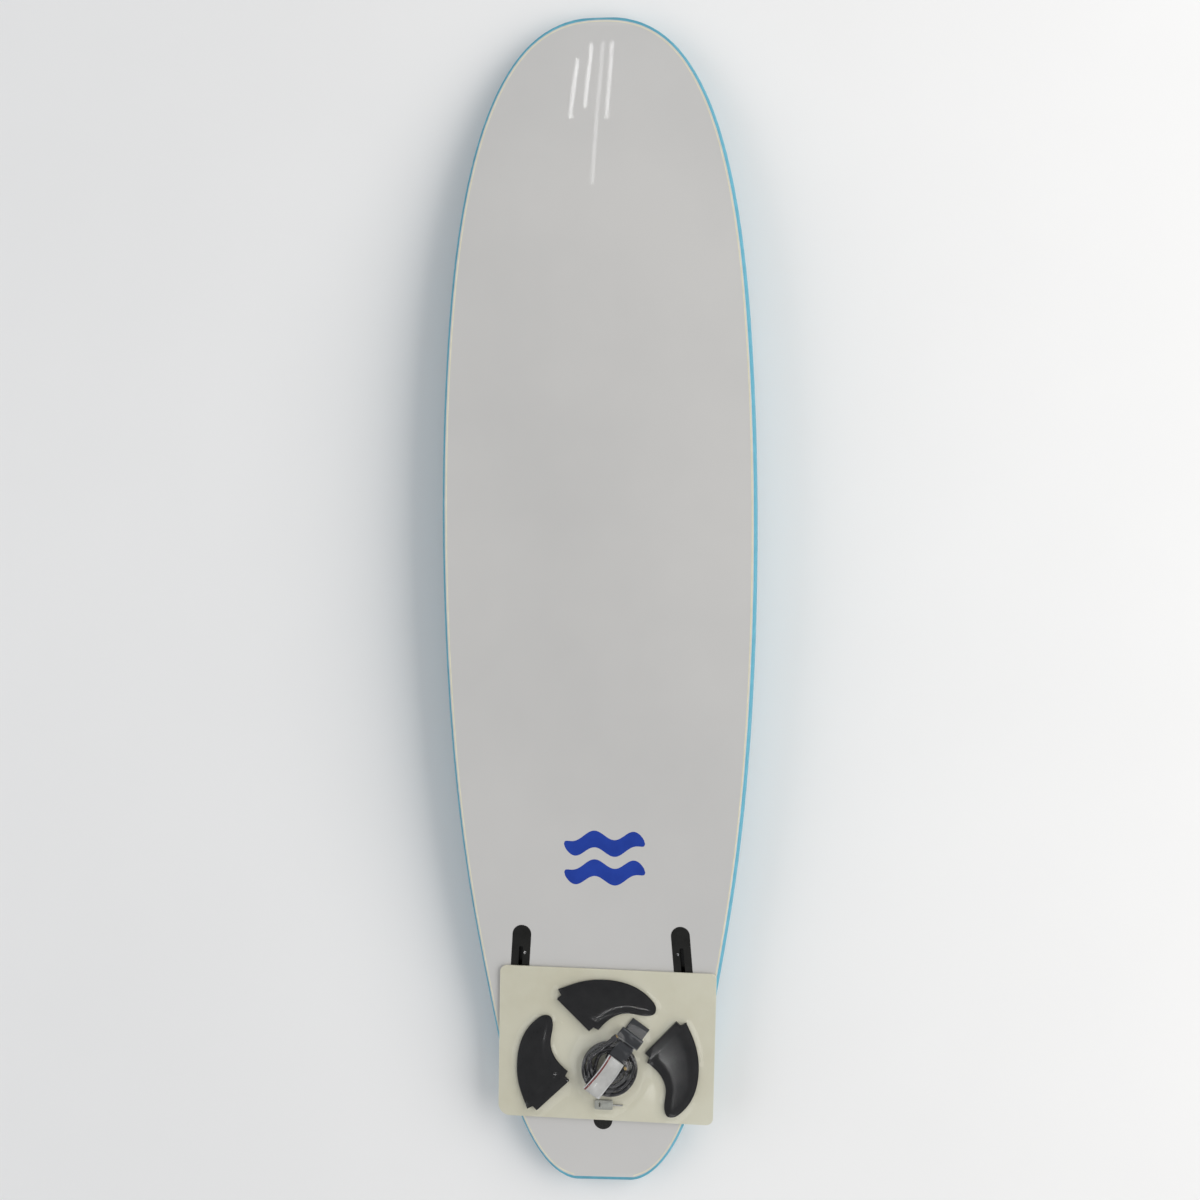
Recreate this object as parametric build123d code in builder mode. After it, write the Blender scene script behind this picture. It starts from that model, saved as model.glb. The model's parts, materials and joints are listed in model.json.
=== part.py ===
"""Soft-top surfboard lying deck down, with its fin and leash pack on the tail."""
from build123d import *
import math
import os

os.makedirs("parts", exist_ok=True)

# Board. A station is a distance from the tail; +X runs to the nose, +Z out of the slick bottom.
length = 2134.0
width = 568.0
thickness = 80.0
thickest_station = 1000.0
tail_thickness = 40.0
nose_thickness = 32.0
tail_rocker = 50.0
nose_rocker = 110.0
flattest_station = 940.0
bottom_corner = 8.0
apex_share = 0.45
deck_round = 48.0
deck_crown = 5.0
tip_round_length = 15.0
tail_blunting = 4.0
nose_blunting = 0.6
thickness_power = 2.4
tail_rocker_power = 2.0
nose_rocker_power = 2.5
rail_fullness = 0.6
skin = 5.0
slick = 2.6
liner = 2.6
slick_inset = 7.0
stringer_offset = 90.0
stringer_thickness = 6.0

# Half plan shape: station and half width, tail to nose.
plan_points = [
    (0, 56),
    (10, 80),
    (40, 111.5),
    (100, 145.5),
    (295, 197.5),
    (554, 242.5),
    (882, 274.5),
    (1230, 284),
    (1568, 272.5),
    (1863, 232.5),
    (2014, 179.5),
    (2091, 122.5),
    (2122, 72),
    (2134, 0),
]

# Fin boxes, on the slick side.
box_length = 165.0
box_width = 34.0
box_depth = 22.0
box_proud = 0.3
slot_length = 86.0
slot_width = 7.0
slot_depth = 15.5
toe_in = 4.2
side_box_station = 393.5
side_box_offset = 148.0
centre_box_station = 179.5

# Grub screws, two in each box, tilted towards the slot they clamp.
screw_spacing = 64.0
screw_offset = 8.0
screw_tilt = 20.0
screw_radius = 2.5
screw_clearance = 0.08
screw_length = 7.5
screw_sink = 1.6
screw_hex = 1.5
screw_hex_depth = 3.0
screw_point = 1.0
screw_bore_spare = 1.2

# Leash plug, on the deck side.
plug_station = 62.0
plug_radius = 19.0
plug_depth = 17.0
plug_cup_radius = 14.0
plug_cup_depth = 12.5
plug_bar_radius = 2.5
plug_bar_depth = 4.5
plug_sunk = 0.2

# Fin pack: a card on the tail, its own frame centred on the card.
card_station = 257.3
card_offset = -8.5
card_turn = -1.75
card_length = 281.0
card_width = 391.0
card_thickness = 4.0
card_gap = 1.4
film_thickness = 0.4
film_gap = 0.1
film_height = 8.2
film_side_rim = 8.5
film_end_rim = 5.5
film_corner = 12.0
film_side_slope = 12.0
piece_gap = 0.3

# The film's dome over the leash, placed in the leash's own frame.
dome_x = 22.0
dome_y = 3.0
dome_length = 186.0
dome_width = 136.0
dome_height = 30.5
dome_side_slope = 20.0

# Fins: blade and tab in one piece, lying flat. Each has its base's leading corner, its turn and its name.
fin_thickness = 7.0
fin_base = 103.0
fin_tab_start = 11.0
fin_tab_end = 93.0
fin_tab_depth = 14.0
fin_step = 3.0
fin_edge = 1.2
fin_leading = [(0, 0), (19, 41), (56, 83), (100, 106), (130, 108.5)]
fin_tip = [(145.5, 104), (151.5, 95), (148, 85.5)]
fin_trailing = [(118, 60), (104.5, 35), (fin_base, 0)]
fin_places = {
    "fin_top": (101.6, 88.8, -134.0),
    "fin_left": (-124.0, 142.1, -44.9),
    "fin_right": (50.3, -143.2, 138.1),
}

# Leash, wound on itself; its own frame has x towards the cuff's end.
leash_x = -39.6
leash_y = -7.3
leash_turn = -35.0
cord_diameter = 7.0
coil_inner = 27.5
coil_outer = 52.5
coil_low = 3.9
coil_top = 17.9
lead_radius = 42.0
lead_height = 22.2
inner_lead_radius = 21.0
saver_bend_radius = 30.0
cuff_lead_start = 74.5
inner_lead_height = 11.5
coil_edge = 3.0
cuff_lead_arc = 60.0
saver_lead_arc = 89.5

# Leash swivels: lengths of the horn, the swivel and its mount, and where each one ends.
fitting_lengths = {"cuff": (29.0, 13.0, 9.0), "saver": (12.0, 7.0, 6.0)}
cuff_post = (60.0, 27.0, lead_height)
saver_post = (26.0, -19.5, 26.5)
horn_end_radius = 3.9
swivel_radius = 4.0
swivel_gap = 0.2
mount_width = 11.0
mount_height = 7.0
mount_corner = 2.0
pin_radius = 1.5
pin_clearance = 0.06
pin_seat = 2.0
pin_end_play = 0.3
pin_head_gap = 0.4
pin_head_radius = 3.2
pin_head = 1.2

# Cuff and rail saver: flat straps folded round the coil.
strap_thickness = 3.0
strap_gap = 0.6
cuff_low = -13.0
cuff_high = 19.0
cuff_bend = 2.5
saver_low = -14.0
saver_high = 19.0
saver_bend = 3.0
saver_rise = 0.4

# The cuff's folded end: near and far ends, its two sides, its bottom and its top.
cuff_pads = {
    "cuff_pad_lower": (58.5, 101.0, -16.4, 21.5, piece_gap, 5.8),
    "cuff_pad_upper": (58.0, 80.0, -19.0, 28.0, 9.6, 17.0),
}
pad_corner = 4.0
pad_edge = 1.5

# Fin key.
key_x = -110.0
key_y = 2.6
key_grip_length = 33.0
key_grip_width = 17.5
key_grip_height = 6.0
key_bit_radius = 1.5
key_bit_reach = 18.0
key_slot_length = 9.0
key_slot_width = 3.0
key_slot_inset = 9.0


def plan_edges(inset=0.0):
    """The board's plan shape, drawn in by inset, as one smooth curve and the straight tail."""
    along = (length - 2 * inset) / length
    across = (width - 2 * inset) / width
    half = [((s - length / 2) * along, w * across) for s, w in plan_points]
    whole = half + [(x, -w) for x, w in reversed(half[:-1])]
    with BuildLine() as plan:
        Spline(*whole)
        Line(whole[-1], whole[0])
    return plan.edges()


plan_curve = plan_edges().sort_by(SortBy.LENGTH)[-1]


def half_width(station):
    """Half the board's width at a station, found along the first half of the plan curve."""
    low, high = 0.0, 0.5
    for _ in range(30):
        middle = (low + high) / 2
        if plan_curve.position_at(middle, position_mode=PositionMode.PARAMETER).X < station - length / 2:
            low = middle
        else:
            high = middle
    return plan_curve.position_at(low, position_mode=PositionMode.PARAMETER).Y


def full_thickness(station):
    """Thickness on the centreline, before the tips round off."""
    if station < thickest_station:
        share, tip = (thickest_station - station) / thickest_station, tail_thickness
    else:
        share, tip = (station - thickest_station) / (length - thickest_station), nose_thickness
    return tip + (thickness - tip) * (1 - share**thickness_power)


def rocker(station):
    """How far the bottom falls away from its flattest station."""
    if station < flattest_station:
        return tail_rocker * ((flattest_station - station) / flattest_station) ** tail_rocker_power
    return nose_rocker * ((station - flattest_station) / (length - flattest_station)) ** nose_rocker_power


# The board stands on the deck's two ends, so it tips until both touch the floor.
tail_foot = tip_round_length
nose_foot = length - tip_round_length


def untilted_deck(station):
    """Height of the deck's centreline before the board tips to rest on both ends."""
    return -rocker(station) - full_thickness(station)


tilt = (untilted_deck(tail_foot) - untilted_deck(nose_foot)) / (nose_foot - tail_foot)


def bottom_height(station):
    """Height of the slick bottom over the floor."""
    return tilt * (station - tail_foot) - rocker(station) - untilted_deck(tail_foot)


def bottom_slope(station):
    """Rise of the slick bottom for each millimetre towards the nose."""
    return bottom_height(station + 0.5) - bottom_height(station - 0.5)


def apex_height(station):
    """Height of the rail's widest line."""
    return bottom_height(station) - apex_share * full_thickness(station)


def deck_height(station):
    """Height of the deck's centreline over the floor."""
    return bottom_height(station) - full_thickness(station)


def tip_share(station, inset):
    """Share of the full thickness left where the two tips round off; neither closes to nothing."""
    reach = min(station - inset + tail_blunting, length - inset - station + nose_blunting)
    if reach >= tip_round_length:
        return 1.0
    return math.sqrt(1 - (1 - reach / tip_round_length) ** 2)


def shaped_blank(inset=0.0, bottom_inset=0.0):
    """The whole board as one lofted solid, drawn in from its rails, deck, ends and bottom."""
    tail_stations = [0, 6, 22, 50, 100, 170, 260, 380, 520, 690, 880]
    nose_stations = [1090, 1300, 1510, 1690, 1840, 1955, 2035, 2085, 2113, 2128.5, 2133.4]
    with BuildPart() as blank:
        for outer_station in tail_stations + nose_stations:
            station = inset + outer_station * (length - 2 * inset) / length
            side = half_width(outer_station) * (1 - 2 * inset / width)
            share = tip_share(station, inset)
            apex = apex_height(station)
            top = apex + (apex_share * full_thickness(station) - bottom_inset) * share
            deck = apex - ((1 - apex_share) * full_thickness(station) - inset) * share
            corner = bottom_corner * min(1.0, side / 60.0)
            shoulder = min(deck_round, 0.45 * side)
            crown = deck_crown * side / (width / 2)
            flat = side - corner
            edge = side - shoulder
            lift = rail_fullness * shoulder * 2 * crown / edge
            with BuildSketch(Plane(origin=(station - length / 2, 0, 0), x_dir=(0, 1, 0), z_dir=(1, 0, 0))):
                with BuildLine():
                    Line((-flat, top), (flat, top))
                    for hand in (1, -1):
                        Bezier(
                            (hand * flat, top),
                            (hand * (flat + rail_fullness * corner), top),
                            (hand * side, apex + rail_fullness * (top - apex)),
                            (hand * side, apex),
                        )
                        Bezier(
                            (hand * side, apex),
                            (hand * side, apex - rail_fullness * (apex - deck - crown)),
                            (hand * (edge + rail_fullness * shoulder), deck + crown + lift),
                            (hand * edge, deck + crown),
                        )
                    Bezier((edge, deck + crown), (0, deck - crown), (-edge, deck + crown))
                make_face()
        loft()
    return blank.part


def above(height_of, margin=0.0):
    """Everything over a lengthwise curve of heights, as one wide block that runs past both ends."""
    overrun = 60.0
    ceiling = 400.0
    count = 14
    step = (length + 2 * overrun) / count
    stations = [step * i - overrun for i in range(count + 1)]
    points = [(s - length / 2, height_of(s) - margin) for s in stations]
    with BuildPart() as block:
        with BuildSketch(Plane.XZ):
            with BuildLine():
                Spline(*points)
                Polyline(points[-1], (points[-1][0], ceiling), (points[0][0], ceiling), points[0])
            make_face()
        extrude(amount=width, both=True)
    return block.part


def board_plane(station, offset, turn=0.0):
    """A plane that touches the bottom at a station and offset, its x turned from the board's centreline."""
    slope = bottom_slope(station)
    along = (math.cos(math.radians(turn)), math.sin(math.radians(turn)))
    return Plane(
        origin=(station - length / 2, offset, bottom_height(station)),
        x_dir=(along[0], along[1], slope * along[0]),
        z_dir=(-slope, 0, 1),
    )


# --- board skins, cores and stringers ------------------------------------------------------------
outer = shaped_blank()
inner = shaped_blank(skin, slick + liner)

with BuildPart() as slick_zone:
    with BuildSketch():
        make_face(plan_edges(slick_inset))
    extrude(amount=400)
    add(above(apex_height), mode=Mode.INTERSECT)

box_planes = {
    "left": board_plane(side_box_station, side_box_offset, -toe_in),
    "right": board_plane(side_box_station, -side_box_offset, toe_in),
    "centre": board_plane(centre_box_station, 0),
}
box_inboard = {"left": -1, "right": 1, "centre": -1}
plug_slope = deck_height(plug_station + 0.5) - deck_height(plug_station - 0.5)
plug_plane = Plane(
    origin=(plug_station - length / 2, 0, deck_height(plug_station) + plug_sunk),
    x_dir=(1, 0, plug_slope),
    z_dir=(-plug_slope, 0, 1),
)

with BuildPart() as pockets:
    for plane in box_planes.values():
        with BuildSketch(plane.offset(-box_depth)):
            SlotOverall(box_length, box_width)
        extrude(amount=box_depth + 10)
    with BuildSketch(plug_plane.offset(-10)):
        Circle(plug_radius)
    extrude(amount=plug_depth + 10)

with BuildPart() as deck_skin:
    add(outer)
    add(inner, mode=Mode.SUBTRACT)
    add(slick_zone.part, mode=Mode.SUBTRACT)
    add(pockets.part, mode=Mode.SUBTRACT)
deck_skin.part.label = "deck_skin"
export_step(deck_skin.part, "parts/deck_skin.step")

with BuildPart() as bottom_slick:
    add(outer)
    add(slick_zone.part, mode=Mode.INTERSECT)
    add(above(bottom_height, slick), mode=Mode.INTERSECT)
    add(pockets.part, mode=Mode.SUBTRACT)
bottom_slick.part.label = "bottom_slick"
export_step(bottom_slick.part, "parts/bottom_slick.step")

with BuildPart() as bottom_liner:
    add(outer)
    add(inner, mode=Mode.SUBTRACT)
    add(slick_zone.part, mode=Mode.INTERSECT)
    add(above(bottom_height, slick), mode=Mode.SUBTRACT)
    add(pockets.part, mode=Mode.SUBTRACT)
bottom_liner.part.label = "bottom_liner"
export_step(bottom_liner.part, "parts/bottom_liner.step")

core_edge = stringer_offset + stringer_thickness / 2
core_bands = {
    "core_left": (core_edge, width),
    "stringer_left": (core_edge - stringer_thickness, core_edge),
    "core_centre": (-core_edge + stringer_thickness, core_edge - stringer_thickness),
    "stringer_right": (-core_edge, -core_edge + stringer_thickness),
    "core_right": (-width, -core_edge),
}
for name, (low, high) in core_bands.items():
    with BuildPart() as core:
        with BuildSketch():
            with Locations((0, (low + high) / 2)):
                Rectangle(length, high - low)
        extrude(amount=400)
        add(inner, mode=Mode.INTERSECT)
        add(pockets.part, mode=Mode.SUBTRACT)
    core.part.label = name
    export_step(core.part, f"parts/{name}.step")

# --- fin boxes and their grub screws -------------------------------------------------------------
def screw_mouths(side):
    """The planes of one box's two screw mouths, facing out along each screw."""
    plane = box_planes[side]
    hand = box_inboard[side]
    lean = math.radians(screw_tilt)
    out = plane.from_local_coords((0, hand * math.sin(lean), math.cos(lean))) - plane.origin
    mouths = []
    for along in (-screw_spacing / 2, screw_spacing / 2):
        centre = plane.from_local_coords((along, hand * screw_offset, box_proud))
        mouths.append(Plane(origin=centre, x_dir=plane.x_dir, z_dir=out))
    return mouths


for side, plane in box_planes.items():
    screw_planes = screw_mouths(side)
    with BuildPart() as fin_box:
        with BuildSketch(plane.offset(-box_depth)):
            SlotOverall(box_length, box_width)
        extrude(amount=box_depth + box_proud)
        chamfer(fin_box.faces().sort_by(Axis(plane.origin, plane.z_dir))[-1].edges(), length=0.5)
        with BuildSketch(plane.offset(box_proud)):
            RectangleRounded(slot_length, slot_width, 1.5)
        extrude(amount=-slot_depth, mode=Mode.SUBTRACT)
        for screw_plane in screw_planes:
            with BuildSketch(screw_plane.offset(screw_sink)):
                Circle(screw_radius + screw_clearance)
            extrude(amount=-2 * screw_sink - screw_length - screw_bore_spare, mode=Mode.SUBTRACT)
    fin_box.part.label = f"fin_box_{side}"
    export_step(fin_box.part, f"parts/fin_box_{side}.step")
    for number, screw_plane in enumerate(screw_planes, 1):
        with BuildPart() as screw:
            with BuildSketch(screw_plane.offset(-screw_sink)):
                Circle(screw_radius)
            extrude(amount=-screw_length + screw_point)
            with BuildSketch(screw_plane.offset(-screw_sink - screw_length + screw_point)):
                Circle(screw_radius)
            extrude(amount=-screw_point, taper=45)
            with BuildSketch(screw_plane.offset(-screw_sink)):
                RegularPolygon(screw_hex, 6, major_radius=False)
            extrude(amount=-screw_hex_depth, mode=Mode.SUBTRACT)
        screw.part.label = f"grub_screw_{side}_{number}"
        export_step(screw.part, f"parts/grub_screw_{side}_{number}.step")

# --- leash plug ----------------------------------------------------------------------------------
with BuildPart() as plug_cup:
    with BuildSketch(plug_plane):
        Circle(plug_radius)
    extrude(amount=plug_depth)
    with BuildSketch(plug_plane):
        Circle(plug_cup_radius)
    extrude(amount=plug_cup_depth, mode=Mode.SUBTRACT)
plug_cup.part.label = "leash_plug_cup"
export_step(plug_cup.part, "parts/leash_plug_cup.step")

bar_centre = plug_plane.from_local_coords((0, 0, plug_bar_depth + plug_bar_radius))
with BuildPart() as plug_bar:
    with BuildSketch(Plane(origin=bar_centre, x_dir=plug_plane.x_dir, z_dir=(0, 1, 0))):
        Circle(plug_bar_radius)
    extrude(amount=plug_cup_radius, both=True)
    with BuildSketch(plug_plane):
        Circle(plug_cup_radius)
    extrude(amount=plug_cup_depth, mode=Mode.INTERSECT)
plug_bar.part.label = "leash_plug_bar"
export_step(plug_bar.part, "parts/leash_plug_bar.step")

# --- fin pack: card and film ---------------------------------------------------------------------
card_plane = board_plane(card_station, card_offset, card_turn).offset(card_gap)
top_plane = card_plane.offset(card_thickness)
card_corners = {(1, 1): 12.0, (1, -1): 10.0, (-1, -1): 13.0, (-1, 1): 22.0}


def card_blank(low, high):
    """A plate over the card's whole outline, with its four unequal corners."""
    with BuildPart() as plate:
        with BuildSketch(card_plane.offset(low)):
            Rectangle(card_length, card_width)
        extrude(amount=high - low)
        for (front, left), radius in card_corners.items():
            corner = card_plane.from_local_coords((front * card_length / 2, left * card_width / 2, 0))
            upright = plate.edges().filter_by(Axis((0, 0, 0), card_plane.z_dir)).sort_by_distance(corner)[0]
            fillet(upright, radius=radius)
    return plate.part


with BuildPart() as pack_card:
    add(card_blank(0, card_thickness))
pack_card.part.label = "pack_card"
export_step(pack_card.part, "parts/pack_card.step")

leash_plane = Plane(
    origin=top_plane.from_local_coords((leash_x, leash_y, 0)),
    x_dir=top_plane.rotated((0, 0, leash_turn)).x_dir,
    z_dir=top_plane.z_dir,
)


def film_space(grow):
    """The room the film makes: a low tray over the fins and a dome over the leash."""
    with BuildPart() as room:
        with BuildSketch(top_plane):
            RectangleRounded(
                card_length - 2 * film_end_rim + 2 * grow,
                card_width - 2 * film_side_rim + 2 * grow,
                film_corner + grow,
            )
        extrude(amount=film_height + grow, taper=film_side_slope)
        with BuildSketch(leash_plane.offset(film_height)):
            with Locations((dome_x, dome_y)):
                SlotOverall(dome_length + 2 * grow, dome_width + 2 * grow)
        extrude(amount=dome_height - film_height + grow, taper=dome_side_slope)
    return room.part


with BuildPart() as pack_film:
    add(card_blank(card_thickness + film_gap, card_thickness + film_gap + film_thickness))
    add(film_space(film_thickness))
    add(film_space(0.0), mode=Mode.SUBTRACT)
pack_film.part.label = "pack_film"
export_step(pack_film.part, "parts/pack_film.step")

# --- fins ----------------------------------------------------------------------------------------
for name, (x, y, turn) in fin_places.items():
    corner = top_plane.from_local_coords((x, y, piece_gap))
    fin_plane = Plane(origin=corner, x_dir=top_plane.rotated((0, 0, turn)).x_dir, z_dir=top_plane.z_dir)
    with BuildPart() as fin:
        with BuildSketch(fin_plane):
            with BuildLine():
                Spline(*fin_leading, *fin_tip, *fin_trailing)
                Polyline(
                    (fin_base, 0),
                    (fin_tab_end, -fin_step),
                    (fin_tab_end, -fin_tab_depth),
                    (fin_tab_start, -fin_tab_depth),
                    (fin_tab_start, -fin_step),
                    (0, 0),
                )
            make_face()
        extrude(amount=fin_thickness)
        fillet(fin.faces().sort_by(Axis(fin_plane.origin, fin_plane.z_dir))[-1].edges(), radius=fin_edge)
    fin.part.label = name
    export_step(fin.part, f"parts/{name}.step")

# --- leash: the coil of cord ---------------------------------------------------------------------
cord_radius = cord_diameter / 2
with BuildPart() as leash_coil:
    with BuildSketch(leash_plane.offset(coil_low)):
        Circle(coil_outer)
        Circle(coil_inner, mode=Mode.SUBTRACT)
    extrude(amount=coil_top - coil_low)
    fillet(leash_coil.edges().filter_by(GeomType.CIRCLE), radius=coil_edge)
    # The last turn on top leads to the cuff; it starts a hair past the horn's face.
    radial = leash_plane.rotated((0, 0, cuff_lead_start + 0.5)).x_dir
    with BuildSketch(Plane(origin=leash_plane.origin, x_dir=radial, z_dir=radial.cross(leash_plane.z_dir))):
        with Locations((lead_radius, lead_height)):
            Circle(cord_radius)
        with Locations((lead_radius, (lead_height + coil_low) / 2)):
            Rectangle(cord_radius, lead_height - coil_low)
    revolve(axis=Axis(leash_plane.origin, leash_plane.z_dir), revolution_arc=cuff_lead_arc)
    # The last turn inside bends off the coil's inner wall and leads to the rail saver.
    bend_centre = leash_plane.from_local_coords((0, saver_bend_radius - inner_lead_radius, 0))
    with BuildSketch(Plane(origin=bend_centre, x_dir=-leash_plane.x_dir, z_dir=leash_plane.y_dir)):
        with Locations((saver_bend_radius, inner_lead_height)):
            Circle(cord_radius)
    revolve(axis=Axis(bend_centre, leash_plane.z_dir), revolution_arc=saver_lead_arc)
leash_coil.part.label = "leash_coil"
export_step(leash_coil.part, "parts/leash_coil.step")

# --- leash: swivels, cuff and rail saver ---------------------------------------------------------
def aimed_plane(start, end):
    """A plane at start, in the leash's frame, that faces end."""
    origin = leash_plane.from_local_coords(start)
    target = leash_plane.from_local_coords(end)
    return Plane(origin=origin, x_dir=leash_plane.z_dir.cross(target - origin), z_dir=target - origin)


cuff_turn = math.radians(cuff_lead_start)
cuff_joint = (lead_radius * math.cos(cuff_turn), lead_radius * math.sin(cuff_turn), lead_height)
saver_joint = (0.0, -inner_lead_radius, inner_lead_height)
fitting_lines = {"cuff": aimed_plane(cuff_joint, cuff_post), "saver": aimed_plane(saver_joint, saver_post)}

# The horn on the rail saver's side starts square to the cord, not to the line of its swivel.
horn_starts = {
    "cuff": fitting_lines["cuff"],
    "saver": Plane(
        origin=fitting_lines["saver"].origin,
        x_dir=fitting_lines["saver"].x_dir,
        z_dir=leash_plane.x_dir,
    ),
}
for name, (horn_length, swivel_length, mount_length) in fitting_lengths.items():
    line = fitting_lines[name]
    with BuildPart() as horn:
        with BuildSketch(horn_starts[name]):
            Circle(cord_radius)
        with BuildSketch(line.offset(horn_length)):
            Circle(horn_end_radius)
        loft()
    horn.part.label = f"leash_horn_{name}"
    export_step(horn.part, f"parts/leash_horn_{name}.step")

    swivel_end = horn_length + swivel_length
    pin_start = horn_length + pin_seat
    pin_end = swivel_end + mount_length + pin_head_gap
    with BuildPart() as swivel:
        with BuildSketch(line.offset(horn_length)):
            Circle(swivel_radius)
        extrude(amount=swivel_length)
        with BuildSketch(line.offset(pin_start)):
            Circle(pin_radius + pin_clearance)
        extrude(amount=swivel_end, mode=Mode.SUBTRACT)
    swivel.part.label = f"leash_swivel_{name}"
    export_step(swivel.part, f"parts/leash_swivel_{name}.step")

    with BuildPart() as mount:
        with BuildSketch(line.offset(swivel_end + swivel_gap)):
            RectangleRounded(mount_width, mount_height, mount_corner)
        extrude(amount=mount_length)
        with BuildSketch(line.offset(swivel_end)):
            Circle(pin_radius + pin_clearance)
        extrude(amount=mount_length + 1, mode=Mode.SUBTRACT)
    mount.part.label = f"leash_mount_{name}"
    export_step(mount.part, f"parts/leash_mount_{name}.step")

    with BuildPart() as pin:
        with BuildSketch(line.offset(pin_start + pin_end_play)):
            Circle(pin_radius)
        extrude(amount=pin_end - pin_start - pin_end_play)
        with BuildSketch(line.offset(pin_end)):
            Circle(pin_head_radius)
        extrude(amount=pin_head)
    pin.part.label = f"leash_pin_{name}"
    export_step(pin.part, f"parts/leash_pin_{name}.step")


def strap(points, low, high, radius):
    """A flat strap that follows points in the leash's lengthwise plane, from low to high across."""
    side_plane = Plane(
        origin=leash_plane.from_local_coords((0, low, 0)),
        x_dir=leash_plane.x_dir,
        z_dir=-leash_plane.y_dir,
    )
    with BuildPart() as band:
        with BuildSketch(side_plane):
            with BuildLine():
                FilletPolyline(*points, radius=radius)
            trace(line_width=strap_thickness)
        extrude(amount=low - high)
    return band.part


strap_on_card = piece_gap + strap_thickness / 2
strap_on_coil = coil_top + strap_gap + strap_thickness / 2
strap_on_pad = strap_on_card + 6.0
saver_top = strap_on_coil + saver_rise

# The cuff's band runs under the coil, up inside it, over the cord and down into its folded end.
with BuildPart() as cuff_band:
    add(
        strap(
            [(50, strap_on_card), (14, strap_on_card), (14, strap_on_coil), (55.5, strap_on_coil),
             (55.5, strap_on_pad), (72, strap_on_pad)],
            cuff_low,
            cuff_high,
            cuff_bend,
        )
    )
cuff_band.part.label = "cuff_band"
export_step(cuff_band.part, "parts/cuff_band.step")

# The rail saver runs from its swivel over the coil, down past its outside and back under it.
with BuildPart() as rail_saver:
    add(
        strap(
            [(26, saver_top + 4.2), (8, saver_top + 3.8), (-22, saver_top), (-55, saver_top),
             (-56, strap_on_card + 0.3), (-18, strap_on_card + 0.3)],
            saver_low,
            saver_high,
            saver_bend,
        )
    )
rail_saver.part.label = "rail_saver"
export_step(rail_saver.part, "parts/rail_saver.step")

for name, (near, far, low, high, bottom, top) in cuff_pads.items():
    with BuildPart() as pad:
        with BuildSketch(leash_plane.offset(bottom)):
            with Locations(((near + far) / 2, (low + high) / 2)):
                RectangleRounded(far - near, high - low, pad_corner)
        extrude(amount=top - bottom)
        fillet(pad.faces().sort_by(Axis(leash_plane.origin, leash_plane.z_dir))[-1].edges(), radius=pad_edge)
    pad.part.label = name
    export_step(pad.part, f"parts/{name}.step")

# --- fin key -------------------------------------------------------------------------------------
key_plane = Plane(
    origin=top_plane.from_local_coords((key_x, key_y, piece_gap)),
    x_dir=top_plane.x_dir,
    z_dir=top_plane.z_dir,
)
with BuildPart() as key_grip:
    with BuildSketch(key_plane):
        RectangleRounded(key_grip_width, key_grip_length, 3)
    extrude(amount=key_grip_height)
    with BuildSketch(key_plane):
        with Locations((0, key_grip_length / 2 - key_slot_inset)):
            SlotOverall(key_slot_length, key_slot_width)
    extrude(amount=key_grip_height, mode=Mode.SUBTRACT)
    fillet(key_grip.faces().sort_by(Axis(key_plane.origin, key_plane.z_dir))[-1].edges(), radius=1.0)
key_grip.part.label = "fin_key_grip"
export_step(key_grip.part, "parts/fin_key_grip.step")

bit_origin = key_plane.from_local_coords((0, -key_grip_length / 2, key_grip_height / 2))
with BuildPart() as key_bit:
    with BuildSketch(Plane(origin=bit_origin, x_dir=key_plane.x_dir, z_dir=-key_plane.y_dir)):
        RegularPolygon(key_bit_radius, 6, major_radius=False)
    extrude(amount=key_bit_reach)
key_bit.part.label = "fin_key_bit"
export_step(key_bit.part, "parts/fin_key_bit.step")
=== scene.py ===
"""Soft-top surfboard lying deck down, with its fin and leash pack on the tail: the visual model."""
import json
import math

import bpy
import numpy as np
from mathutils import Matrix, Vector
from mathutils.bvhtree import BVHTree
from mathutils.geometry import delaunay_2d_cdt

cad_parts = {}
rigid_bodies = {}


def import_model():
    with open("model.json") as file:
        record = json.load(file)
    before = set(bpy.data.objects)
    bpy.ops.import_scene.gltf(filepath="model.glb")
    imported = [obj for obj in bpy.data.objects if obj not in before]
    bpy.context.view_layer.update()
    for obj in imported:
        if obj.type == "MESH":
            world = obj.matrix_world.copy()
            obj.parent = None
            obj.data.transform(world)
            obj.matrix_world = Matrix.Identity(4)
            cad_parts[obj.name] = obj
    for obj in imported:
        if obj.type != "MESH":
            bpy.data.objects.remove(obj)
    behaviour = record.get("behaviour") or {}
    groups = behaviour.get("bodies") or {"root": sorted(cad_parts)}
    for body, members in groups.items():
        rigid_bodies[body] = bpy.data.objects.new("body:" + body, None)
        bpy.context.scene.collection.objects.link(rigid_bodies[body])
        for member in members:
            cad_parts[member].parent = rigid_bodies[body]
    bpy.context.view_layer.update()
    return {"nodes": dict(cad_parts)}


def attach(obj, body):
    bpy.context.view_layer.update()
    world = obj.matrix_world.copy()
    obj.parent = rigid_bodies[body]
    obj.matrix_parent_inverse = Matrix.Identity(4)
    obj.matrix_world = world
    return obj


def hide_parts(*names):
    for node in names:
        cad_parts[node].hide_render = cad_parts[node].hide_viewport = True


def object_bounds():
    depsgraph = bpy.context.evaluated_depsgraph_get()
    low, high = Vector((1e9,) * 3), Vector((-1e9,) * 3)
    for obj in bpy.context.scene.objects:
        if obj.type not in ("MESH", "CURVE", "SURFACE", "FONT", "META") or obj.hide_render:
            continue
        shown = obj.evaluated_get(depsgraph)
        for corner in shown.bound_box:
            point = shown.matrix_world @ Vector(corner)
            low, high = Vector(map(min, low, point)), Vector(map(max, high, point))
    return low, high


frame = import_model()
nodes = frame["nodes"]
MM = 0.001


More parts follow.
